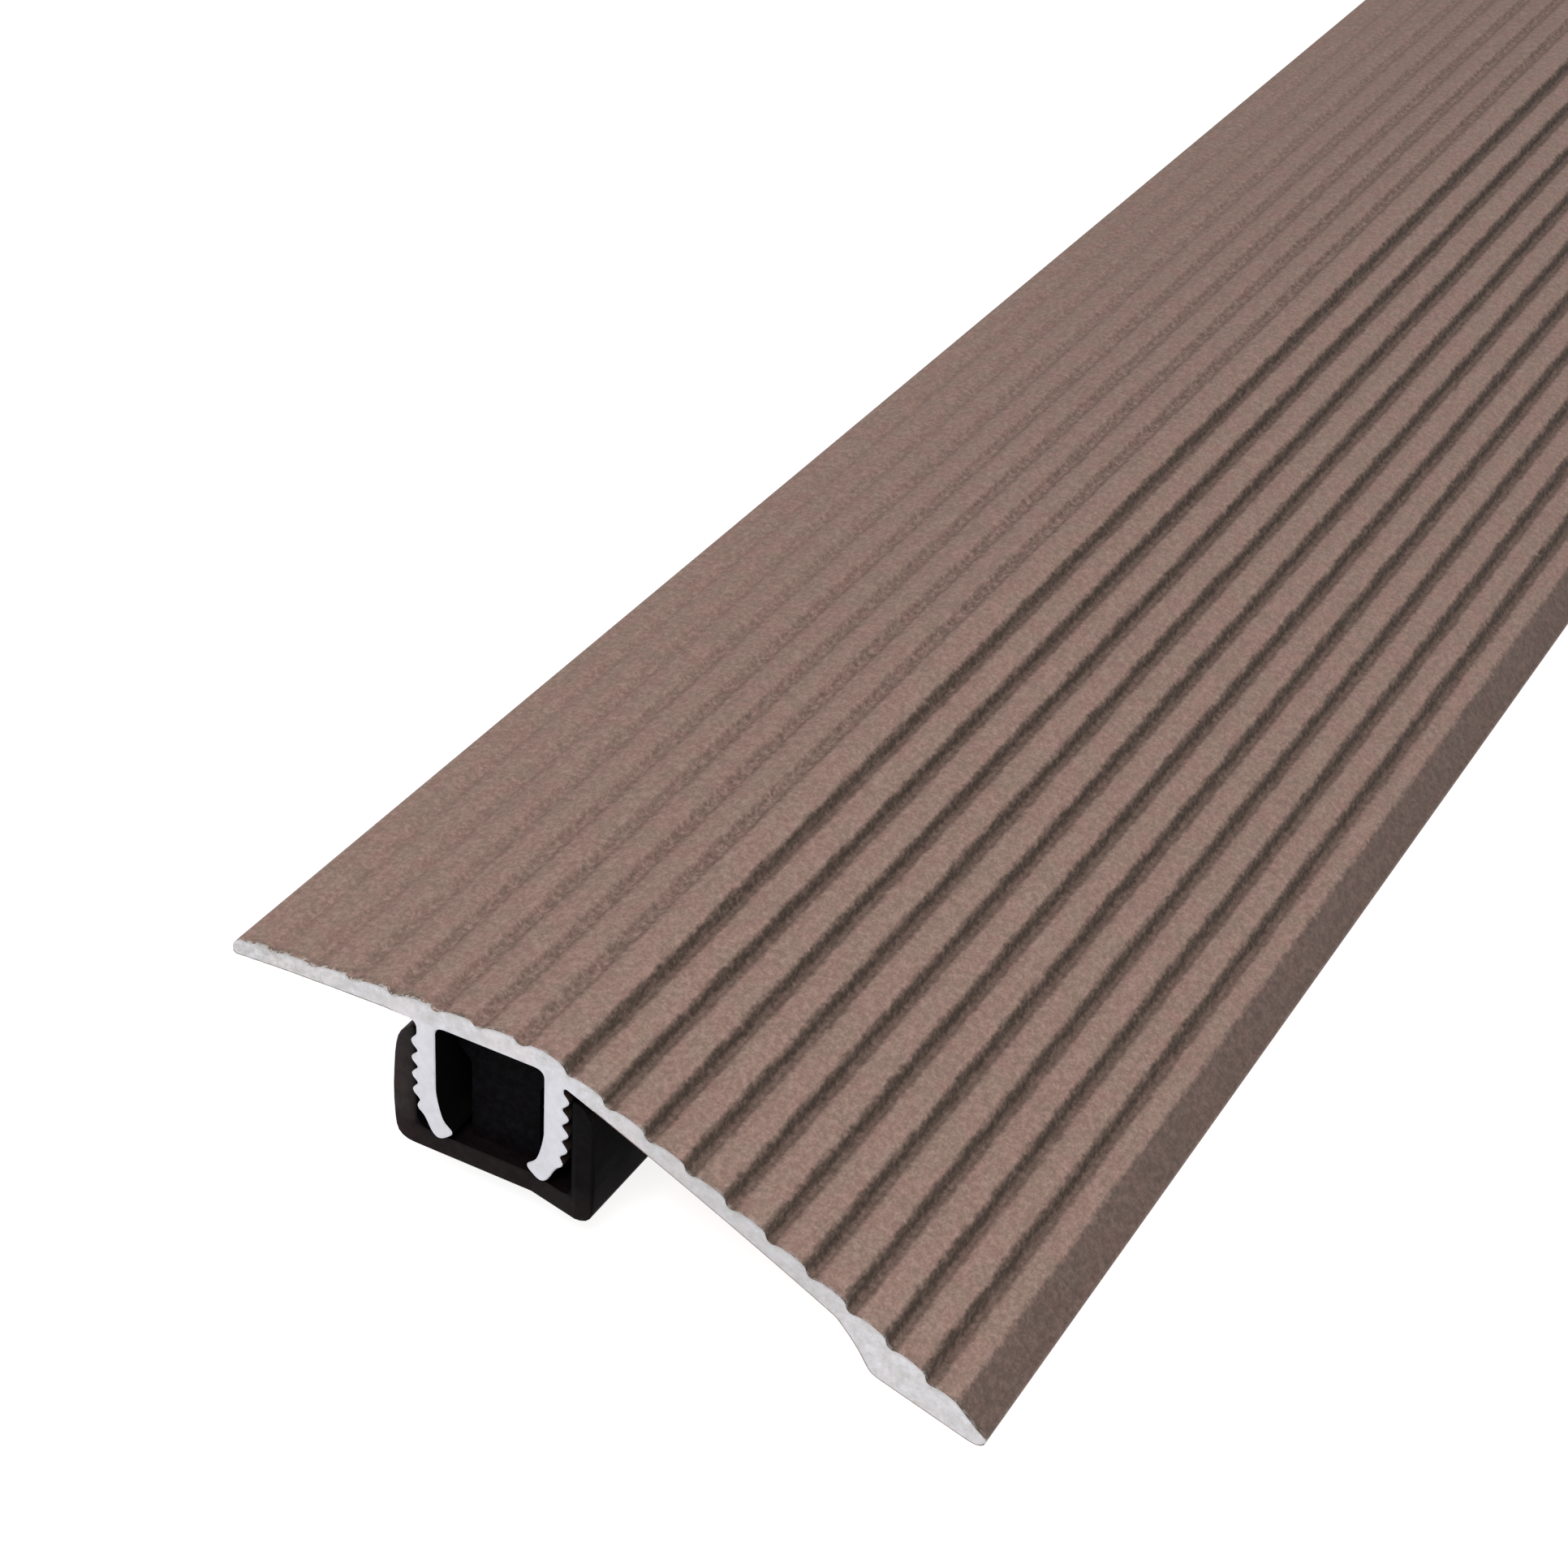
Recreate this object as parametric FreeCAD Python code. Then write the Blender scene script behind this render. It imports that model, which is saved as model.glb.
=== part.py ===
import FreeCAD, Part
import os
import math

# Two-level threshold strip: an extruded aluminium cover with two toothed legs,
# pressed down into a row of short plastic channel clips that are screwed to the
# floor along the joint between a higher floor (towards -X) and a lower one (+X).
# Millimetres. X runs across the strip towards the ramp's toe, Y along the strip,
# Z up. The origin is the middle of the row of screw holes, at the clips' foot.

# ---- driving dimensions -------------------------------------------------------
STRIP_LENGTH = 900.0        # length of the cover, a standard single-door strip

# clips
CLIP_COUNT = 7
CLIP_PITCH = 145.0          # screw to screw
CLIP_LENGTH = 29.9          # the end clips' outer ends sit 0.05 inside the cut ends
CLIP_OUTER_HALF = 6.1       # half the clip's outside width
CLIP_INNER_HALF = 4.72      # half the channel between the clip's walls
CLIP_FLOOR = 1.2            # floor thickness
CLIP_END_RECESS = 0.62      # an end face is set back this much over most of its width
CLIP_LUG_START = 2.05       # where the end face begins to run forward again
CLIP_LUG_END = 5.0          # where it is fully forward
SCREW_HOLE_R = 1.9          # for a 3.5 countersunk screw
SCREW_CYL_DEPTH = 0.3       # straight part of the hole, below the countersink
SCREW_SINK_R = 2.95         # countersink radius at the top of the floor
GUIDE_LENGTH = 8.0          # guide block between the legs, one at each end
GUIDE_SETBACK = 1.5         # from the cover's cut end to the block's face
GUIDE_HALF = 2.0            # half width of the block's stem, below the leg hooks' path
GUIDE_HEAD_HALF = 2.75      # half width of its head, which stops the hooks

# cover
SECTION_LIFT = 8.35         # height of the cover's datum over the clips' foot, pressed home
RAMP_ANGLE = 25.2           # mean slope of the ramp's underside, degrees
RIB_PITCH_RAMP = 2.5        # along the slope
RAMP_FIRST_GROOVE = 3.82    # slope coordinate of the groove at the bend
RAMP_GROOVES = 10
RIB_PITCH_TOP = 2.45        # on the flat part and the flange
TOP_LAST_GROOVE = 1.85      # the groove nearest the bend
TOP_GROOVES = 7
RIB_HEIGHT_RAMP = 0.36
BEND_GROOVE = 0.29          # depth of the groove at the bend
RIB_HEIGHTS_TOP = (0.31, 0.31, 0.30, 0.28, 0.25, 0.22, 0.18)    # groove depths, fading towards the flange's tip
LEG_INNER = 3.15            # half the gap between the legs

LIFT_TRAVEL = 3.4           # how far the cover can rise in the clips

# ---- the cover's section ------------------------------------------------------
# Worked out about a datum midway between the legs, just below the middle
# underside, and lifted by SECTION_LIFT at the end.

C = math.cos(math.radians(RAMP_ANGLE))
S = math.sin(math.radians(RAMP_ANGLE))


def slope_to_xy(u, h):
    """From along-the-ramp and square-to-the-ramp to x and y."""
    return (u * C + h * S, -u * S + h * C)


def ramp_crown(u):
    """Height of the rib tops, square to the ramp: the ramp is slightly domed."""
    return 2.86 - 0.0027 * (u - 13.0) ** 2


def ramp_under(u):
    """Height of the ramp's underside."""
    return 1.68 - 0.0021 * (u - 11.5) ** 2


def top_crown(x):
    """Height of the rib tops on the flat part and the flange."""
    return 1.50 - 0.0032 * (x - 0.5) ** 2


# One rib, from the middle of a groove's floor to the middle of the next: distance
# as a fraction of the pitch, height as a fraction of the rib's height. It rises
# gently from the -X side to a flat top, and drops short and steep on the +X side.
RIB_SHAPE = [
    (0.00, 0.00),
    (0.045, 0.04),
    (0.10, 0.29),
    (0.155, 0.50),
    (0.23, 0.69),
    (0.33, 0.85),
    (0.45, 0.95),
    (0.60, 1.00),
    (0.72, 0.985),
    (0.785, 0.90),
    (0.83, 0.66),
    (0.88, 0.28),
    (0.915, 0.08),
    (0.955, 0.00),
]
RIB_PEAK = 0.60             # where the shape above reaches its full height


def outline():
    pts = []

    # underside of the flange, from its tip in to the leg
    pts += [(-15.10, -0.20), (-12.00, 0.00), (-8.50, 0.13), (-6.00, 0.20), (-4.62, 0.14), (-4.36, 0.02)]

    # one leg, from the top of its outer face down its teeth, then round the foot's
    # hook and up the inner face, for the leg on the +X side
    outer = [
        (4.24, -0.22), (4.24, -0.74),
        (4.50, -1.02), (4.58, -1.20), (4.50, -1.38), (4.22, -1.66), (4.20, -1.80),
        (4.48, -2.07), (4.57, -2.24), (4.50, -2.42), (4.22, -2.68), (4.20, -2.81),
        (4.46, -3.08), (4.56, -3.25), (4.50, -3.43), (4.23, -3.68), (4.21, -3.81),
        (4.42, -4.06), (4.52, -4.24), (4.45, -4.42), (4.15, -4.68), (4.08, -4.82),
        (4.20, -5.03), (4.26, -5.20), (4.18, -5.38), (3.90, -5.60), (3.72, -5.88),
        (3.55, -6.25), (3.38, -6.53), (3.18, -6.72), (2.97, -6.78),
    ]
    inner = [
        (2.76, -6.70), (2.52, -6.52), (2.30, -6.33), (2.20, -6.18), (2.20, -6.04),
        (2.32, -5.90), (2.56, -5.72), (2.74, -5.50), (2.87, -5.15), (2.99, -4.72),
        (3.08, -4.30), (LEG_INNER, -3.85), (LEG_INNER, -0.22), (3.08, 0.00), (2.90, 0.15), (2.65, 0.20),
    ]
    pts += [(-x, y) for x, y in outer]
    pts += [(-x, y) for x, y in inner]
    pts += inner[::-1]
    pts += outer[:0:-1]

    # underside of the ramp, out to the thickened toe
    pts += [(4.26, -0.50), (4.34, -0.40), (4.50, -0.43)]
    for u in (6.0, 8.0, 10.0, 12.0, 14.0, 16.0, 18.0, 19.5, 20.6):
        pts.append(slope_to_xy(u, ramp_under(u)))
    pts += [(19.62, -7.60), (19.90, -7.90), (20.45, -8.50), (20.95, -9.15), (21.38, -9.85), (21.60, -10.12), (21.95, -10.29)]
    # toe underside, and round the tip
    pts += [(26.95, -11.80), (27.30, -11.86), (27.62, -11.78), (27.80, -11.60), (27.84, -11.42), (27.77, -11.28)]
    # the bevel above the tip
    pts += [(27.58, -11.14), (27.32, -10.94), (26.90, -10.55), (26.50, -10.16), (26.24, -9.90)]

    # ramp ribs, from the toe back up to the bend; the last one ends at the bevel
    last = RAMP_FIRST_GROOVE + (RAMP_GROOVES - 1) * RIB_PITCH_RAMP
    pts.append(slope_to_xy(last + 1.40, ramp_crown(last + 1.40)))
    for k in range(RAMP_GROOVES - 1, -1, -1):
        u0 = RAMP_FIRST_GROOVE + k * RIB_PITCH_RAMP
        for a, b in RIB_SHAPE[::-1]:
            u = u0 + a * RIB_PITCH_RAMP
            if k == RAMP_GROOVES - 1 and a > 0.46:
                continue
            deep = BEND_GROOVE if k == 0 and a < RIB_PEAK else RIB_HEIGHT_RAMP
            pts.append(slope_to_xy(u, ramp_crown(u) - deep * (1.0 - b)))
        if k > 0:
            pts.append(slope_to_xy(u0 - 0.03 * RIB_PITCH_RAMP, ramp_crown(u0) - RIB_HEIGHT_RAMP))

    # the rib that goes over the bend, between the first ramp groove and the last
    # groove of the flat part
    pts += [(4.41, 0.53), (4.35, 0.65), (4.27, 0.80), (4.14, 0.96), (3.95, 1.09), (3.68, 1.20), (3.35, 1.30), (3.00, 1.38), (2.66, 1.41)]
    pts += [(2.42, 1.40), (2.26, 1.35), (2.12, 1.27), (1.98, 1.20)]
    # ribs of the flat part and the flange, towards -X
    for k in range(TOP_GROOVES):
        x0 = TOP_LAST_GROOVE - k * RIB_PITCH_TOP
        pts.append((x0 + 0.01, top_crown(x0) - RIB_HEIGHTS_TOP[k]))
        if k == TOP_GROOVES - 1:
            break
        for a, b in RIB_SHAPE[1:][::-1]:
            x = x0 - RIB_PITCH_TOP + a * RIB_PITCH_TOP
            deep = RIB_HEIGHTS_TOP[k + 1] if a < RIB_PEAK else RIB_HEIGHTS_TOP[k]
            pts.append((x, top_crown(x) - deep * (1.0 - b)))

    # the last rib and the flange's rounded tip
    x0 = TOP_LAST_GROOVE - (TOP_GROOVES - 1) * RIB_PITCH_TOP
    pts += [(x0 - 0.13, 0.79), (x0 - 0.28, 0.85), (x0 - 0.45, 0.885), (x0 - 0.65, 0.89), (x0 - 0.90, 0.865)]
    pts += [(-14.05, 0.81), (-14.40, 0.77), (-14.72, 0.75), (-14.95, 0.69), (-15.14, 0.56), (-15.26, 0.38), (-15.31, 0.15), (-15.27, -0.06)]

    clean = []
    for p in pts:
        if not clean or math.hypot(p[0] - clean[-1][0], p[1] - clean[-1][1]) > 0.02:
            clean.append(p)
    return [(x, y + SECTION_LIFT) for x, y in clean]


def prism(points, y0, y1):
    """A closed outline in X and Z, drawn out along Y."""
    v = [FreeCAD.Vector(x, y0, z) for x, z in points]
    v.append(v[0])
    face = Part.Face(Part.makePolygon(v))
    return face.extrude(FreeCAD.Vector(0, y1 - y0, 0))


def keep(shape, name):
    if len(shape.Solids) != 1 or not shape.isValid():
        raise RuntimeError("%s: %d solids, valid %s" % (name, len(shape.Solids), shape.isValid()))
    solid = shape.Solids[0]
    solid.exportStep("parts/%s.step" % name)
    b = solid.BoundBox
    print("%-18s volume %9.1f  x %.2f..%.2f  y %.2f..%.2f  z %.2f..%.2f" % (name, solid.Volume, b.XMin, b.XMax, b.YMin, b.YMax, b.ZMin, b.ZMax))
    return solid


def cover():
    return prism(outline(), -STRIP_LENGTH / 2, STRIP_LENGTH / 2)


# ---- the clip -----------------------------------------------------------------
# A channel with slightly barrelled walls that narrow towards their tops, drawn
# about its own screw hole.

def channel_outline():
    h = SECTION_LIFT
    right = [
        (4.95, -8.35), (5.30, -8.31), (5.62, -8.18), (5.85, -7.95), (5.98, -7.60), (6.04, -7.10),
        (CLIP_OUTER_HALF, -6.00), (CLIP_OUTER_HALF, -5.00), (6.05, -4.00), (5.98, -3.00),
        (5.90, -2.35), (5.78, -1.85), (5.60, -1.47), (5.38, -1.22), (5.12, -1.06),
        (4.90, -1.00), (4.76, -1.06), (CLIP_INNER_HALF, -1.22),
        (CLIP_INNER_HALF, -6.55), (4.62, -6.85), (4.42, -7.06), (4.12, -8.35 + CLIP_FLOOR),
    ]
    left = [(-x, y) for x, y in right[::-1]]
    return [(x, y + h) for x, y in right + left]


def guide_outline():
    h = SECTION_LIFT
    half = [
        (GUIDE_HALF, -8.35 + CLIP_FLOOR - 0.4), (GUIDE_HALF, -2.55), (2.20, -2.25), (GUIDE_HEAD_HALF, -1.70),
        (GUIDE_HEAD_HALF, -0.55), (2.62, -0.32), (2.40, -0.22),
    ]
    return [(x, y + h) for x, y in half + [(-x, y) for x, y in half[::-1]]]


def end_cutter():
    """What is taken off the -Y end, in plan: a step back over most of the width,
    then a slant forward to a lug at the +X wall."""
    y_end = -CLIP_LENGTH / 2
    back = y_end + CLIP_END_RECESS
    plan = [(-20, y_end - 1), (-20, back), (CLIP_LUG_START, back), (CLIP_LUG_END, y_end), (CLIP_LUG_END, y_end - 1)]
    v = [FreeCAD.Vector(x, y, -5) for x, y in plan]
    v.append(v[0])
    return Part.Face(Part.makePolygon(v)).extrude(FreeCAD.Vector(0, 0, 30))


def clip():
    half = CLIP_LENGTH / 2
    body = prism(channel_outline(), -half, half)
    cut = end_cutter()
    far = cut.mirror(FreeCAD.Vector(0, 0, 0), FreeCAD.Vector(0, 1, 0))
    body = body.cut(cut).cut(far)
    g0 = -half + GUIDE_SETBACK
    near_guide = prism(guide_outline(), g0, g0 + GUIDE_LENGTH)
    far_guide = prism(guide_outline(), -g0 - GUIDE_LENGTH, -g0)
    body = body.fuse([near_guide, far_guide])
    # screw hole: a short straight part, then the countersink up to the floor's top
    up = FreeCAD.Vector(0, 0, 1)
    hole = Part.makeCylinder(SCREW_HOLE_R, SCREW_CYL_DEPTH + 2.0, FreeCAD.Vector(0, 0, -2.0), up)
    body = body.cut(hole)
    over = 0.6
    grow = (SCREW_SINK_R - SCREW_HOLE_R) / (CLIP_FLOOR - SCREW_CYL_DEPTH)
    sink = Part.makeCone(SCREW_HOLE_R, SCREW_SINK_R + grow * over, CLIP_FLOOR - SCREW_CYL_DEPTH + over, FreeCAD.Vector(0, 0, SCREW_CYL_DEPTH), up)
    body = body.cut(sink)
    return body.removeSplitter()


os.makedirs("parts", exist_ok=True)
keep(cover(), "cover_profile")
one = clip()
for i in range(CLIP_COUNT):
    c = one.copy()
    c.translate(FreeCAD.Vector(0, (i - (CLIP_COUNT - 1) / 2.0) * CLIP_PITCH, 0))
    keep(c, "fixing_clip_%d" % (i + 1))
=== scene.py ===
import math

import bmesh
import bpy
import numpy as np
from mathutils import Matrix, Vector, noise


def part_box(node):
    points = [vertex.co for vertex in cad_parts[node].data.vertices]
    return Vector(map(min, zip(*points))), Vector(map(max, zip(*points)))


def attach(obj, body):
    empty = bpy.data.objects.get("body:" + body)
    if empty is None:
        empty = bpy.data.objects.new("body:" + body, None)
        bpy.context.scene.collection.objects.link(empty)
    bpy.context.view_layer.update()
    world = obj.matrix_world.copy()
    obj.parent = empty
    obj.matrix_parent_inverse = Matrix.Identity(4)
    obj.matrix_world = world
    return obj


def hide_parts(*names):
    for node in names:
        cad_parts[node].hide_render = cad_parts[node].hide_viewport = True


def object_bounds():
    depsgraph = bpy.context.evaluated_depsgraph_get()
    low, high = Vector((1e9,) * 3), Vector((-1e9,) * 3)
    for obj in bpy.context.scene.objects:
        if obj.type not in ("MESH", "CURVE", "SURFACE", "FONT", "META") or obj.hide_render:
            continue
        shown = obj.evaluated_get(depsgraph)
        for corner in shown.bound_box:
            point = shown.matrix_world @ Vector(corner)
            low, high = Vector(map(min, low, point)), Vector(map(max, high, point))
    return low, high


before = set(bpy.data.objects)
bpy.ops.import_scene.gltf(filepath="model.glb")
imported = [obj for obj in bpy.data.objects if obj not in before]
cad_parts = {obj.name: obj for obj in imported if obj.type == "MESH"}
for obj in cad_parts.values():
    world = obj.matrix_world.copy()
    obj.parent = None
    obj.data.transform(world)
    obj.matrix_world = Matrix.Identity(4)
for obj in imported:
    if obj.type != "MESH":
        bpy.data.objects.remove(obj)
cad_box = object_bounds()

MM = 0.001
scene = bpy.context.scene
cover_lo, cover_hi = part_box("cover_profile")
Y0, Y1 = cover_lo.y, cover_hi.y                 # the two sawn ends
CLIPS = sorted(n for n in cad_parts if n.startswith("fixing_clip_"))


RAMP = math.radians(25.2)                       # the ramp's slope
# Painted shade in the grooves, on top of their real shape, by the distance in mm from the
# middle of a groove's floor: on the ramp, darkest on the steep side and beside it, then
# fading up the gentle side; on the flat part, two thin lines with the floor between.
SHADE_ACROSS_RAMP = ((-0.64, 0), (-0.54, 0.32), (-0.44, 0.68), (-0.35, 0.90), (-0.25, 1.0), (-0.15, 0.92), (-0.05, 0.76),
               (0.07, 0.66), (0.22, 0.63), (0.32, 0.46), (0.42, 0.18), (0.52, 0))
SHADE_ACROSS_TOP = ((-0.56, 0), (-0.38, 0.62), (-0.25, 1.0), (-0.12, 0.96), (0.02, 0.86), (0.15, 0.84),
              (0.29, 0.84), (0.38, 0.80), (0.50, 0.34), (0.62, 0))
# how strong the painted groove shade is on the ramp, and on the flat part's grooves
RAMP_GROOVE_SHADE = 0.97
TOP_GROOVE_SHADE = (0.36, 0.32, 0.28, 0.23, 0.17, 0.10, 0.06)      # from the bend to the flange's tip
# painted shade on the toe's bevel
BEVEL_PAINTED_SHADE = (0.432, 0.427, 0.430)

# ---------------------------------------------------------------- node helpers
class Mat:
    """A small wrapper that keeps node set-ups short."""

    def __init__(self, name):
        self.m = bpy.data.materials.new(name)
        self.m.use_nodes = True
        self.t = self.m.node_tree
        self.t.nodes.clear()
        self.out = self.t.nodes.new("ShaderNodeOutputMaterial")
        self.b = self.t.nodes.new("ShaderNodeBsdfPrincipled")
        self.t.links.new(self.b.outputs["BSDF"], self.out.inputs["Surface"])
        self.co = self.t.nodes.new("ShaderNodeTexCoord").outputs["Object"]

    def link(self, a, b):
        self.t.links.new(a, b)

    def mapping(self, scale, rot=(0, 0, 0), loc=(0, 0, 0)):
        n = self.t.nodes.new("ShaderNodeMapping")
        n.inputs["Scale"].default_value = scale
        n.inputs["Rotation"].default_value = rot
        n.inputs["Location"].default_value = loc
        self.link(self.co, n.inputs["Vector"])
        return n.outputs["Vector"]

    def noise(self, vector, scale, detail=3.0, rough=0.5, distortion=0.0):
        n = self.t.nodes.new("ShaderNodeTexNoise")
        n.inputs["Scale"].default_value = scale
        n.inputs["Detail"].default_value = detail
        n.inputs["Roughness"].default_value = rough
        n.inputs["Distortion"].default_value = distortion
        self.link(vector, n.inputs["Vector"])
        return n.outputs["Fac"]

    def voronoi(self, vector, scale, feature="F1", rand=1.0):
        n = self.t.nodes.new("ShaderNodeTexVoronoi")
        n.feature = feature
        n.inputs["Scale"].default_value = scale
        n.inputs["Randomness"].default_value = rand
        self.link(vector, n.inputs["Vector"])
        return n.outputs["Distance"]

    def wave(self, vector, scale, distortion=2.0, detail=2.0):
        n = self.t.nodes.new("ShaderNodeTexWave")
        n.inputs["Scale"].default_value = scale
        n.inputs["Distortion"].default_value = distortion
        n.inputs["Detail"].default_value = detail
        self.link(vector, n.inputs["Vector"])
        return n.outputs["Fac"]

    def ramp(self, fac, stops):
        n = self.t.nodes.new("ShaderNodeValToRGB")
        e = n.color_ramp.elements
        while len(e) < len(stops):
            e.new(0.5)
        for el, (p, c) in zip(e, stops):
            el.position = p
            el.color = tuple(c) + (1.0,) if len(c) == 3 else c
        self.link(fac, n.inputs["Fac"])
        return n.outputs["Color"]

    def fit(self, fac, a, b, lo, hi, smooth=False):
        n = self.t.nodes.new("ShaderNodeMapRange")
        n.interpolation_type = "SMOOTHSTEP" if smooth else "LINEAR"
        n.inputs["From Min"].default_value = a
        n.inputs["From Max"].default_value = b
        n.inputs["To Min"].default_value = lo
        n.inputs["To Max"].default_value = hi
        self.link(fac, n.inputs["Value"])
        return n.outputs["Result"]

    def math(self, op, a, b=None):
        n = self.t.nodes.new("ShaderNodeMath")
        n.operation = op
        for i, v in enumerate((a, b)):
            if v is None:
                continue
            if isinstance(v, (int, float)):
                n.inputs[i].default_value = v
            else:
                self.link(v, n.inputs[i])
        return n.outputs[0]

    def mix(self, fac, a, b, blend="MIX"):
        n = self.t.nodes.new("ShaderNodeMix")
        n.data_type = "RGBA"
        n.blend_type = blend
        for sock, v in ((n.inputs[0], fac), (n.inputs[6], a), (n.inputs[7], b)):
            if isinstance(v, (int, float)):
                sock.default_value = v
            elif isinstance(v, tuple):
                sock.default_value = v + (1.0,) if len(v) == 3 else v
            else:
                self.link(v, sock)
        return n.outputs[2]

    def bump(self, height, strength, distance, normal=None):
        n = self.t.nodes.new("ShaderNodeBump")
        n.inputs["Strength"].default_value = strength
        n.inputs["Distance"].default_value = distance
        self.link(height, n.inputs["Height"])
        if normal is not None:
            self.link(normal, n.inputs["Normal"])
        return n.outputs["Normal"]

    def attribute(self, name):
        n = self.t.nodes.new("ShaderNodeAttribute")
        n.attribute_name = name
        return n.outputs["Fac"]


# ------------------------------------------------------------------- materials
def anodised():
    """Matte taupe anodising on an etched extrusion: fine speckle, pinkish and
    olive clouds, faint lines along the extrusion; painted shade darkens the grooves, the
    toe's bevel, the legs, the channel between them and the underside edge of the sawn ends."""
    m = Mat("anodised_taupe")
    cloud = m.noise(m.mapping((1, 0.7, 1)), 640.0, 4.0, 0.62)             # clouds of 1 to 2 mm
    cloud2 = m.noise(m.mapping((1, 0.6, 1), loc=(3.1, 0.7, 1.9)), 1700.0, 3.0, 0.6)
    grain = m.noise(m.mapping((1, 0.9, 1), loc=(0.3, 2.7, 5.1)), 6200.0, 2.0, 0.75)
    lines = m.noise(m.mapping((1, 0.03, 1), loc=(7.7, 0.1, 0.4)), 3600.0, 3.0, 0.6)
    pink, olive = (0.306, 0.182, 0.151), (0.276, 0.190, 0.149)
    base = m.mix(m.fit(cloud, 0.38, 0.62, 0.0, 1.0, True), pink, olive)
    base = m.mix(m.fit(cloud2, 0.35, 0.68, 0.0, 0.35, True), base, (0.336, 0.222, 0.186))
    base = m.mix(m.fit(lines, 0.35, 0.70, 0.0, 0.20), base, (0.210, 0.142, 0.115))
    base = m.mix(m.fit(grain, 0.28, 0.58, 0.42, 0.0), base, (0.150, 0.098, 0.079))
    base = m.mix(m.fit(grain, 0.52, 0.76, 0.0, 0.42), base, (0.440, 0.318, 0.272))
    blot = m.noise(m.mapping((1, 0.9, 1), loc=(6.3, 1.7, 2.1)), 2900.0, 2.0, 0.75)
    base = m.mix(m.fit(blot, 0.26, 0.52, 0.52, 0.0), base, (0.165, 0.108, 0.087))
    base = m.mix(m.fit(blot, 0.50, 0.76, 0.0, 0.52), base, (0.425, 0.300, 0.255))
    # painted shade darkens the toe's bevel from a ragged border, with dark and light specks on it
    ragged = m.noise(m.mapping((1, 0.8, 1), loc=(0.4, 6.1, 8.2)), 2700.0, 2.0, 0.75)
    edge = m.math("ADD", m.attribute("bevel_at"), m.fit(ragged, 0.28, 0.72, -0.12, 0.12))
    edge = m.fit(edge, -0.16, 0.18, 0.0, 1.0, True)
    base = m.mix(edge, base, BEVEL_PAINTED_SHADE, "MULTIPLY")
    peel = m.noise(m.mapping((1, 0.8, 1), loc=(9.4, 2.1, 0.2)), 2200.0, 2.0, 0.8)
    base = m.mix(m.math("MULTIPLY", edge, m.fit(peel, 0.30, 0.50, 0.42, 0.0)), base, (0.062, 0.038, 0.031))
    base = m.mix(m.math("MULTIPLY", edge, m.fit(peel, 0.50, 0.70, 0.0, 0.30)), base, (0.230, 0.152, 0.128))
    # the grooves: painted shade across the floor and up the steep side, on top of the
    # real groove shape, with edges that wander a little and are ragged and speckled
    wobble = m.noise(m.mapping((1, 0.30, 1), loc=(1.2, 4.4, 0.2)), 1500.0, 3.0, 0.6)
    pits = m.noise(m.mapping((1, 0.7, 1), loc=(5.2, 0.4, 3.2)), 4200.0, 2.0, 0.75)
    at = m.math("ADD", m.attribute("groove_at"), m.fit(wobble, 0.30, 0.70, -0.075, 0.075))
    at = m.math("ADD", at, m.fit(ragged, 0.28, 0.72, -0.10, 0.10))
    place = m.fit(at, -0.8, 0.8, 0.0, 1.0)
    on_ramp = m.ramp(place, [((t + 0.8) / 1.6, (v, v, v)) for t, v in SHADE_ACROSS_RAMP])
    on_top = m.ramp(place, [((t + 0.8) / 1.6, (v, v, v)) for t, v in SHADE_ACROSS_TOP])
    kind = m.attribute("groove_on_top")
    dark = m.mix(kind, on_ramp, on_top)
    dark = m.math("MULTIPLY", dark, m.attribute("groove_painted_shade"))
    speck = m.math("ADD", m.fit(pits, 0.32, 0.68, -0.5, 0.5), m.fit(blot, 0.30, 0.70, 0.6, -0.6))
    speck = m.math("MULTIPLY", speck, m.fit(kind, 0.0, 1.0, 0.24, 0.95))
    dark = m.math("MULTIPLY", dark, m.math("ADD", speck, 0.98))
    dark = m.math("MINIMUM", dark, 1.0)
    base = m.mix(dark, base, (0.058, 0.041, 0.032))
    # crumbs along the sawn ends: torn dark specks and bare metal flecks
    sep = m.t.nodes.new("ShaderNodeSeparateXYZ")
    m.link(m.co, sep.inputs[0])
    along = m.math("ABSOLUTE", sep.outputs["Y"])
    flange = m.fit(sep.outputs["X"], -0.0040, 0.0040, 1.0, 0.35, True)
    torn = m.noise(m.mapping((1, 1, 1), loc=(2.7, 8.8, 1.3)), 1900.0, 2.0, 0.8)
    fleck = m.noise(m.mapping((1, 1, 1), loc=(8.1, 0.9, 6.6)), 2400.0, 2.0, 0.8)
    brink = m.math("MULTIPLY", m.fit(along, 0.44935, 0.44985, 0.0, 1.0, True), flange)
    base = m.mix(m.math("MULTIPLY", brink, m.fit(torn, 0.47, 0.56, 0.0, 0.80, True)), base, (0.085, 0.074, 0.060))
    brink = m.math("MULTIPLY", m.fit(along, 0.44966, 0.44988, 0.0, 1.0, True), flange)
    base = m.mix(m.math("MULTIPLY", brink, m.fit(fleck, 0.50, 0.57, 0.0, 0.90, True)), base, (0.500, 0.485, 0.460))
    # painted shade: near black over the legs' sides, the channel between them and the underside edge of the sawn
    # ends
    painted_deep_shade = m.attribute("legs")
    base = m.mix(painted_deep_shade, base, (0.0020, 0.0017, 0.0016))
    m.link(base, m.b.inputs["Base Color"])
    m.link(m.fit(cloud2, 0.3, 0.7, 0.54, 0.66), m.b.inputs["Roughness"])
    m.b.inputs["Metallic"].default_value = 0.15
    # the sheen fades where shade is painted
    m.link(m.fit(m.math("MAXIMUM", m.math("MULTIPLY", dark, 0.8), painted_deep_shade), 0.0, 1.0, 0.40, 0.04), m.b.inputs["Specular IOR Level"])
    etched = m.math("ADD", m.math("MULTIPLY", grain, 0.7), m.math("MULTIPLY", lines, 0.4))
    m.link(m.bump(etched, 0.40, 0.00004), m.b.inputs["Normal"])
    return m.m


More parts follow.
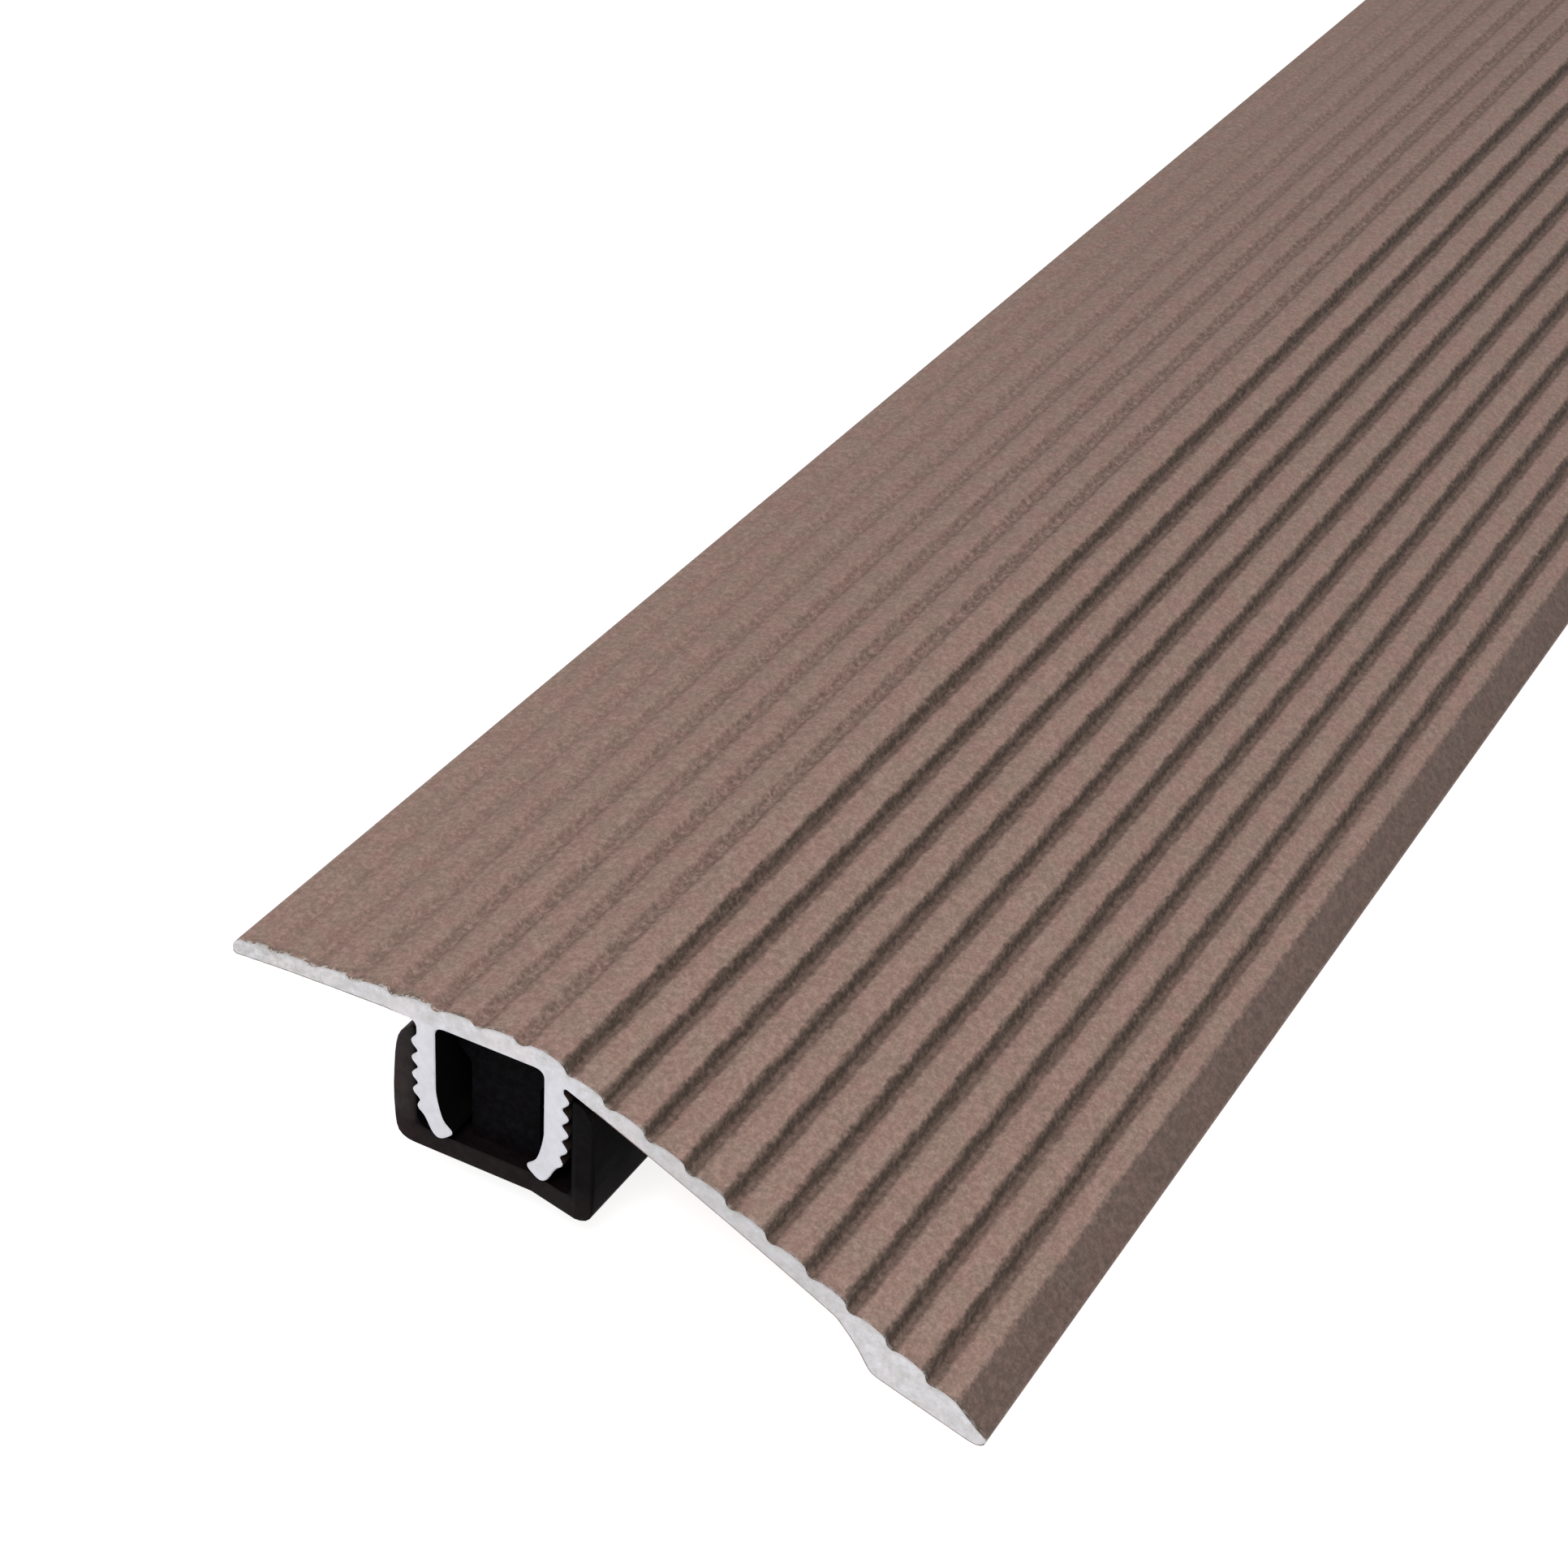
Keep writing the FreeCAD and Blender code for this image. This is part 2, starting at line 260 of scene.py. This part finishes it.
def bare_cut():
    """Bare aluminium as the saw leaves it: satin, with fine slanting tooth
    marks, small dull patches and a few pits."""
    m = Mat("bare_sawn_aluminium")
    flat = m.mapping((1, 1, 1))
    marks = m.wave(m.mapping((1, 1, 1), rot=(0.0, math.radians(28), 0.0)), 900.0, 3.0, 3.0)
    fine = m.noise(m.mapping((0.35, 1, 1), rot=(0.0, math.radians(28), 0.0)), 9000.0, 3.0, 0.6)
    patch = m.noise(flat, 1400.0, 4.0, 0.68)
    pits = m.noise(m.mapping((1, 1, 1), loc=(2.0, 0.3, 4.0)), 2800.0, 3.0, 0.75)
    base = m.mix(m.fit(patch, 0.35, 0.65, 0.0, 1.0), (0.560, 0.552, 0.580), (0.430, 0.416, 0.410))
    pink = m.noise(m.mapping((1, 1, 1), loc=(1.1, 5.0, 2.2)), 650.0, 2.0, 0.6)
    base = m.mix(m.fit(pink, 0.50, 0.68, 0.0, 0.55, True), base, (0.590, 0.535, 0.550))
    base = m.mix(m.fit(fine, 0.40, 0.75, 0.0, 0.30), base, (0.37, 0.37, 0.375))
    base = m.mix(m.fit(pits, 0.58, 0.74, 0.0, 0.55), base, (0.27, 0.26, 0.25))
    base = m.mix(m.fit(pits, 0.24, 0.44, 0.50, 0.0), base, (0.70, 0.70, 0.72))
    # the legs' ends are cleaner than the flange's, which the saw left rough
    sep = m.t.nodes.new("ShaderNodeSeparateXYZ")
    m.link(m.co, sep.inputs[0])
    legs = m.math("MULTIPLY", m.fit(m.math("ABSOLUTE", sep.outputs["X"]), 0.0046, 0.0056, 1.0, 0.0, True),
                  m.fit(sep.outputs["Z"], 0.0080, 0.0092, 1.0, 0.0, True))
    base = m.mix(m.math("MULTIPLY", legs, 0.7), base, (0.535, 0.540, 0.588))
    rough = m.math("MULTIPLY", m.fit(sep.outputs["X"], -0.0130, -0.0050, 1.0, 0.15, True), m.fit(m.noise(flat, 2600.0, 3.0, 0.7), 0.42, 0.62, 0.0, 0.68))
    base = m.mix(rough, base, (0.330, 0.322, 0.304))
    # the thin middle of the ramp's end is duller
    dull = m.math("MULTIPLY", m.fit(sep.outputs["X"], 0.0050, 0.0100, 0.0, 0.30, True), m.fit(sep.outputs["X"], 0.0170, 0.0220, 1.0, 0.0, True))
    base = m.mix(dull, base, (0.300, 0.292, 0.290))
    base = m.mix(1.0, base, (0.960, 0.958, 0.960), "MULTIPLY")
    m.link(base, m.b.inputs["Base Color"])
    m.link(m.fit(patch, 0.3, 0.7, 0.45, 0.60), m.b.inputs["Roughness"])
    m.b.inputs["Metallic"].default_value = 0.45
    h = m.math("ADD", m.math("MULTIPLY", marks, 0.5), fine)
    m.link(m.bump(h, 0.40, 0.00003), m.b.inputs["Normal"])
    return m.m


def black_plastic():
    """Black moulded plastic, matte and brownish; painted light makes the -X wall lighter, the foot
    is lighter too, and painted shade makes the inside of the channel, the +X wall's end and its side deep black."""
    m = Mat("clip_black_plastic")
    flat = m.mapping((1, 1, 1))
    grain = m.noise(flat, 4200.0, 3.0, 0.65)
    cloud = m.noise(m.mapping((1, 0.6, 1), loc=(2.2, 0.1, 3.0)), 620.0, 4.0, 0.6)
    tint = m.noise(m.mapping((1, 1, 1), loc=(4.0, 1.1, 0.3)), 420.0, 3.0, 0.65)
    scuff = m.noise(m.mapping((1, 0.15, 3.0), loc=(0.2, 3.1, 1.0)), 900.0, 3.0, 0.7)
    base = m.mix(m.fit(cloud, 0.35, 0.68, 0.0, 1.0, True), (0.0044, 0.0027, 0.0029), (0.0092, 0.0060, 0.0063))
    base = m.mix(m.fit(tint, 0.50, 0.66, 0.0, 0.70, True), base, (0.0062, 0.0072, 0.0056))
    base = m.mix(m.fit(scuff, 0.58, 0.78, 0.0, 0.30), base, (0.014, 0.010, 0.010))
    speck = m.noise(m.mapping((1, 1, 1), loc=(3.3, 2.0, 1.5)), 1900.0, 3.0, 0.75)
    base = m.mix(m.fit(grain, 0.45, 0.75, 0.0, 0.35), base, (0.015, 0.011, 0.011))
    base = m.mix(m.fit(speck, 0.52, 0.72, 0.0, 0.55), base, (0.016, 0.012, 0.012))
    base = m.mix(m.fit(speck, 0.30, 0.50, 0.60, 0.0), base, (0.0012, 0.0010, 0.0010))
    # place on the clip: painted light on the -X wall, a lighter foot, painted shade deep black inside
    sep = m.t.nodes.new("ShaderNodeSeparateXYZ")
    m.link(m.co, sep.inputs[0])
    x, z = sep.outputs["X"], sep.outputs["Z"]
    inside = m.math("MULTIPLY", m.fit(m.math("ABSOLUTE", x), 0.0047, 0.0050, 1.0, 0.0, True), m.fit(z, 0.0009, 0.0014, 0.0, 1.0, True))
    left = m.fit(x, -0.0058, -0.0044, 1.0, 0.0, True)
    foot = m.math("MULTIPLY", m.fit(z, 0.0008, 0.0016, 1.0, 0.0, True), m.fit(x, -0.004, 0.002, 0.42, 0.16, True))
    lighter_wall_and_foot = m.math("MAXIMUM", left, foot)
    base = m.mix(m.math("MULTIPLY", lighter_wall_and_foot, m.fit(speck, 0.3, 0.7, 0.35, 0.85)), base, (0.0270, 0.0185, 0.0195))
    base = m.mix(m.math("MULTIPLY", inside, 0.8), base, (0.0012, 0.0012, 0.0016))
    base = m.mix(m.math("MULTIPLY", inside, m.fit(speck, 0.45, 0.70, 0.0, 0.50)), base, (0.0050, 0.0054, 0.0075))
    # painted shade makes the +X wall's end as dark as its side, with a bluish bloom
    wall = m.math("MULTIPLY", m.fit(x, 0.0042, 0.0050, 0.0, 1.0, True), m.fit(z, 0.0006, 0.0024, 0.30, 1.0, True))
    base = m.mix(m.math("MULTIPLY", wall, 0.75), base, (0.0020, 0.0017, 0.0018))
    base = m.mix(m.math("MULTIPLY", wall, m.fit(scuff, 0.45, 0.70, 0.0, 0.35)), base, (0.0070, 0.0076, 0.0090))
    # painted shade on the +X side face
    side = m.fit(x, 0.00575, 0.00594, 0.0, 1.0, True)
    base = m.mix(m.math("MULTIPLY", side, 0.85), base, (0.0018, 0.0015, 0.0018))
    m.link(m.fit(cloud, 0.3, 0.7, 0.50, 0.64), m.b.inputs["Roughness"])
    low = m.fit(z, 0.0010, 0.0022, 0.60, 0.0, True)
    base = m.mix(m.math("MULTIPLY", low, 0.5), base, (0.0060, 0.0030, 0.0034))
    m.link(base, m.b.inputs["Base Color"])
    m.link(m.fit(m.math("MAXIMUM", m.math("MAXIMUM", low, m.math("MULTIPLY", wall, 0.85)), m.math("MAXIMUM", inside, side)), 0.0, 1.0, 0.055, 0.010), m.b.inputs["Specular IOR Level"])
    m.link(m.bump(grain, 0.25, 0.00004), m.b.inputs["Normal"])
    return m.m


MAT_ANODISED = anodised()
MAT_CUT = bare_cut()
MAT_PLASTIC = black_plastic()


# ----------------------------------------------------- the cover's outline
def end_ring(obj, y_end):
    """The section's outline at one end of an extruded node, in order, as (x, z)."""
    bm = bmesh.new()
    bm.from_mesh(obj.data)
    bmesh.ops.remove_doubles(bm, verts=bm.verts, dist=1e-6)
    bm.normal_update()
    step = {}
    for e in bm.edges:
        if any(abs(v.co.y - y_end) > 1e-6 for v in e.verts) or len(e.link_faces) != 2:
            continue
        cap = [abs(f.normal.y) > 0.9 for f in e.link_faces]
        if cap[0] == cap[1]:
            continue
        a, b = e.verts
        step.setdefault(a.index, []).append(b.index)
        step.setdefault(b.index, []).append(a.index)
    where = {i: (bm.verts[i].co.x, bm.verts[i].co.z) for i in step} if bm.verts.ensure_lookup_table() is None else {}
    start = min(step, key=lambda i: where[i])
    ring, last, here = [start], None, start
    while True:
        nxt = [i for i in step[here] if i != last]
        last, here = here, nxt[0]
        if here == start:
            break
        ring.append(here)
    bm.free()
    pts = np.array([where[i] for i in ring])
    x, z = pts[:, 0], pts[:, 1]
    if np.sum(x * np.roll(z, -1) - np.roll(x, -1) * z) < 0:      # make it anticlockwise
        pts = pts[::-1]
    return pts


def soften(pts, reach):
    """Rounds every corner of a closed outline with a short curve. Returns points
    and their outward normals."""
    n = len(pts)
    out, nor = [], []
    for i in range(n):
        p, a, b = pts[i], pts[i - 1], pts[(i + 1) % n]
        la, lb = np.linalg.norm(a - p), np.linalg.norm(b - p)
        t = min(reach, 0.42 * la, 0.42 * lb)
        ua, ub = (a - p) / la, (b - p) / lb
        s, e = p + ua * t, p + ub * t
        turn = math.degrees(math.acos(max(-1.0, min(1.0, float(-ua @ ub)))))
        k = 2 if turn < 4 else 3 if turn < 12 else 4 if turn < 30 else 7
        for j in range(k):
            w = j / (k - 1)
            q = (1 - w) ** 2 * s + 2 * w * (1 - w) * p + w * w * e
            d = (1 - w) * (p - s) + w * (e - p)
            d = d / np.linalg.norm(d)
            out.append(q)
            nor.append((d[1], -d[0]))
    return np.array(out), np.array(nor)


def shading_of(pts, nor):
    """What the anodising needs at each point of the outline: the distance in mm
    from the nearest groove's middle, the strength of that groove's painted shade, 1 if it is on the
    flat part; the distance past the toe's bevel edge; and how much painted shade darkens the legs and the channel
    between them."""
    x, z = pts[:, 0], pts[:, 1]
    n = len(pts)
    at, dark, on_top = np.full(n, 0.95), np.zeros(n), np.zeros(n)
    bevel, legs = np.full(n, -1.0), np.zeros(n)
    upper = (nor[:, 1] > 0.05) & (z > np.interp(x, [-0.0155, 0.0045, 0.0279], [8.6 * MM, 8.6 * MM, -3.3 * MM]))
    idx = sorted(np.nonzero(upper)[0], key=lambda k: x[k])
    # the line laid over the ribs
    hull = []
    for k in idx:
        while len(hull) > 1:
            a, b = hull[-2], hull[-1]
            if (x[b] - x[a]) * (z[k] - z[a]) - (z[b] - z[a]) * (x[k] - x[a]) >= 0:
                hull.pop()
            else:
                break
        hull.append(k)
    sink = {k: float(np.interp(x[k], x[hull], z[hull]) - z[k]) for k in idx}
    # the grooves: the lowest point between one rib top and the next
    grooves, run = [], []
    for k in idx:
        if sink[k] > 0.10 * MM:
            run.append(k)
        elif run:
            deepest = max(sink[q] for q in run)
            low = [x[q] for q in run if sink[q] > deepest - 0.015 * MM]
            grooves.append(0.5 * (min(low) + max(low)) / MM)
            run = []
    flat = sorted((g for g in grooves if g < 3.5), reverse=True)
    for k in idx:
        w = x[k] / MM
        bevel[k] = max(-1.0, w - 26.12)
        if w > 26.0:
            continue
        g = min(grooves, key=lambda q: abs(q - w))
        ramp = g > 3.5
        at[k] = (w - g) / (math.cos(RAMP) if ramp else 1.0)
        on_top[k] = 0.0 if ramp else 1.0
        if abs(at[k]) < 0.90:
            dark[k] = RAMP_GROOVE_SHADE if ramp else TOP_GROOVE_SHADE[min(flat.index(g), len(TOP_GROOVE_SHADE) - 1)]
    # painted shade: near black on the legs' sides and on the channel between the legs
    legs[(np.abs(x) < 4.8 * MM) & (z < 8.0 * MM)] = 0.93
    legs[(np.abs(x) < 3.3 * MM) & (z < 8.7 * MM)] = 1.0
    return {"groove_at": at, "groove_painted_shade": dark, "groove_on_top": on_top, "bevel_at": bevel, "legs": legs}, grooves


ring = end_ring(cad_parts["cover_profile"], Y0)
section, section_n = soften(ring, 0.16 * MM)
shading, grooves = shading_of(section, section_n)
print("grooves at", [round(g, 2) for g in grooves])


def cover_mesh():
    """The cover as one closed skin: the outline drawn out along Y, a fine
    broken edge at each end, and the two sawn faces."""
    n = len(section)
    lip = 0.06 * MM
    lower = (section_n[:, 1] < -0.3) & (np.abs(section[:, 0]) > 5.2 * MM)     # the underside edge is broken a little further and painted near black as a line of shade under the sawn face
    inner = section - section_n * np.where(lower, 0.075 * MM, lip)[:, None]
    stations = [(Y0, inner), (Y0 + lip, section), (Y0 + 1.5 * MM, section), (Y0 + 12 * MM, section)]
    span = [Y0 + (Y1 - Y0) * k / 18 for k in range(1, 18)]
    stations += [(y, section) for y in span]
    stations += [(Y1 - 12 * MM, section), (Y1 - 1.5 * MM, section), (Y1 - lip, section), (Y1, inner)]
    verts, faces, mats, loops_n = [], [], [], []
    for k, (y, s) in enumerate(stations):
        back = {1: -0.04 * MM, len(stations) - 2: 0.04 * MM}.get(k, 0.0)
        verts += [(p[0], y + (back if low else 0.0), p[1]) for p, low in zip(s, lower)]
    rows = len(stations)
    for r in range(rows - 1):
        bevel = r in (0, rows - 2)
        for i in range(n):
            j = (i + 1) % n
            faces.append((r * n + i, (r + 1) * n + i, (r + 1) * n + j, r * n + j))
            under = section_n[i][1] + section_n[j][1] < -0.6 and abs(section[i][0]) > 5.2 * MM
            mats.append(1 if bevel and not under else 0)
            ends = [(r, i), (r + 1, i), (r + 1, j), (r, j)]
            for rr, k in ends:
                nx, nz = section_n[k]
                lean = 2.6 if nz > 0 else 0.7
                ny = 0.0 if not bevel else (-lean if r == 0 else lean)
                v = Vector((nx, ny, nz)).normalized()
                loops_n.append(v)
    base = len(verts)
    me = bpy.data.meshes.new("cover_profile_skin")
    faces.append(tuple(range(n)))
    loops_n += [Vector((0, -1, 0))] * n
    mats.append(1)
    top = (rows - 1) * n
    faces.append(tuple(range(top, top + n))[::-1])
    loops_n += [Vector((0, 1, 0))] * n
    mats.append(1)
    me.from_pydata(verts, [], faces)
    me.polygons.foreach_set("material_index", mats)
    me.polygons.foreach_set("use_smooth", [True] * (len(faces) - 2) + [False] * 2)
    me.materials.append(MAT_ANODISED)
    me.materials.append(MAT_CUT)
    for name, value in shading.items():
        me.attributes.new(name, "FLOAT", "POINT")
        value = np.tile(value, rows).reshape(rows, n).astype(np.float32)
        # painted shade: the underside edge at each sawn end near black
        if name == "legs":
            value[0, lower] = value[-1, lower] = 0.90
        me.attributes[name].data.foreach_set("value", value.ravel())
    me.update()
    me.normals_split_custom_set([tuple(v) for v in loops_n])
    return me


cover = bpy.data.objects.new("cover_skin", cover_mesh())
scene.collection.objects.link(cover)
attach(cover, "cover")
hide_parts("cover_profile")

# ---------------------------------------------------------------------- clips
for name in CLIPS:
    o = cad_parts[name]
    o.data.materials.clear()
    o.data.materials.append(MAT_PLASTIC)
    weld = o.modifiers.new("weld", "WELD")
    weld.merge_threshold = 1e-6
    bev = o.modifiers.new("soft_edges", "BEVEL")
    bev.width = 0.14 * MM
    bev.segments = 2
    bev.limit_method = "ANGLE"
    bev.angle_limit = math.radians(38)
    bev.use_clamp_overlap = True
    bev.harden_normals = True

# ------------------------------------------------------------ stage and lights
floor_z = cad_box[0][2] - 0.00002
fm = bpy.data.meshes.new("floor")
S = 6.0
fm.from_pydata([(-S, -S, floor_z), (S, -S, floor_z), (S, S, floor_z), (-S, S, floor_z)], [], [(0, 1, 2, 3)])
floor = bpy.data.objects.new("floor", fm)
scene.collection.objects.link(floor)
pale = bpy.data.materials.new("pale_floor")
pale.use_nodes = True
pt = pale.node_tree
pb = pt.nodes["Principled BSDF"]
pb.inputs["Base Color"].default_value = (0.62, 0.62, 0.62, 1)
pb.inputs["Roughness"].default_value = 0.9
pb.inputs["Specular IOR Level"].default_value = 0.1
pb.inputs["Emission Color"].default_value = (1, 1, 1, 1)
pb.inputs["Emission Strength"].default_value = 0.83
fm.materials.append(pale)

world = bpy.data.worlds.new("studio")
scene.world = world
world.use_nodes = True
bg = world.node_tree.nodes["Background"]
bg.inputs["Color"].default_value = (1.0, 1.0, 1.0, 1)
bg.inputs["Strength"].default_value = 0.42
# the backdrop behind the floor is seen as white as the floor, and lights no more
wt = world.node_tree
seen = wt.nodes.new("ShaderNodeBackground")
seen.inputs["Color"].default_value = (1.0, 1.0, 1.0, 1)
seen.inputs["Strength"].default_value = 0.98
pick = wt.nodes.new("ShaderNodeMixShader")
path = wt.nodes.new("ShaderNodeLightPath")
wt.links.new(path.outputs["Is Camera Ray"], pick.inputs[0])
wt.links.new(bg.outputs[0], pick.inputs[1])
wt.links.new(seen.outputs[0], pick.inputs[2])
wt.links.new(pick.outputs[0], wt.nodes["World Output"].inputs["Surface"])


def area(name, at, target, size, power, size_y=None, color=(1, 1, 1)):
    l = bpy.data.lights.new(name, "AREA")
    l.shape = "RECTANGLE"
    l.size = size
    l.size_y = size_y or size
    l.energy = power
    l.color = color
    o = bpy.data.objects.new(name, l)
    scene.collection.objects.link(o)
    o.location = at
    o.rotation_euler = (Vector(target) - Vector(at)).to_track_quat("-Z", "Y").to_euler()
    return o


area("near_softbox", (0.10, -0.68, 0.40), (0.0, -0.44, 0.0), 0.22, 1.9, 0.22)
area("far_softbox", (0.02, 0.30, 0.30), (0.02, 0.40, 0.0), 0.25, 0.9, 0.60)

# --------------------------------------------------------------------- camera
# Lens and place worked out from the strip's own vanishing lines; the near sawn
# end is 170 mm away.
right = Vector((0.873060, 0.485159, 0.048856))
up = Vector((-0.308052, 0.471117, 0.826530))
fwd = Vector((-0.377982, 0.736661, -0.560768))
cam_data = bpy.data.cameras.new("camera")
cam_data.sensor_fit = "HORIZONTAL"
cam_data.sensor_width = 36.0
cam_data.lens = 75.466
cam_data.clip_start = 0.005
cam_data.clip_end = 50.0
cam = bpy.data.objects.new("camera", cam_data)
scene.collection.objects.link(cam)
rot = Matrix((right, up, -fwd)).transposed().to_4x4()
cam.matrix_world = Matrix.Translation(Vector((68.4636, -553.9077, 108.7910)) * MM) @ rot
scene.camera = cam

scene.view_settings.view_transform = "Standard"
scene.view_settings.look = "None"
scene.view_settings.exposure = 0.0
scene.view_settings.gamma = 1.0
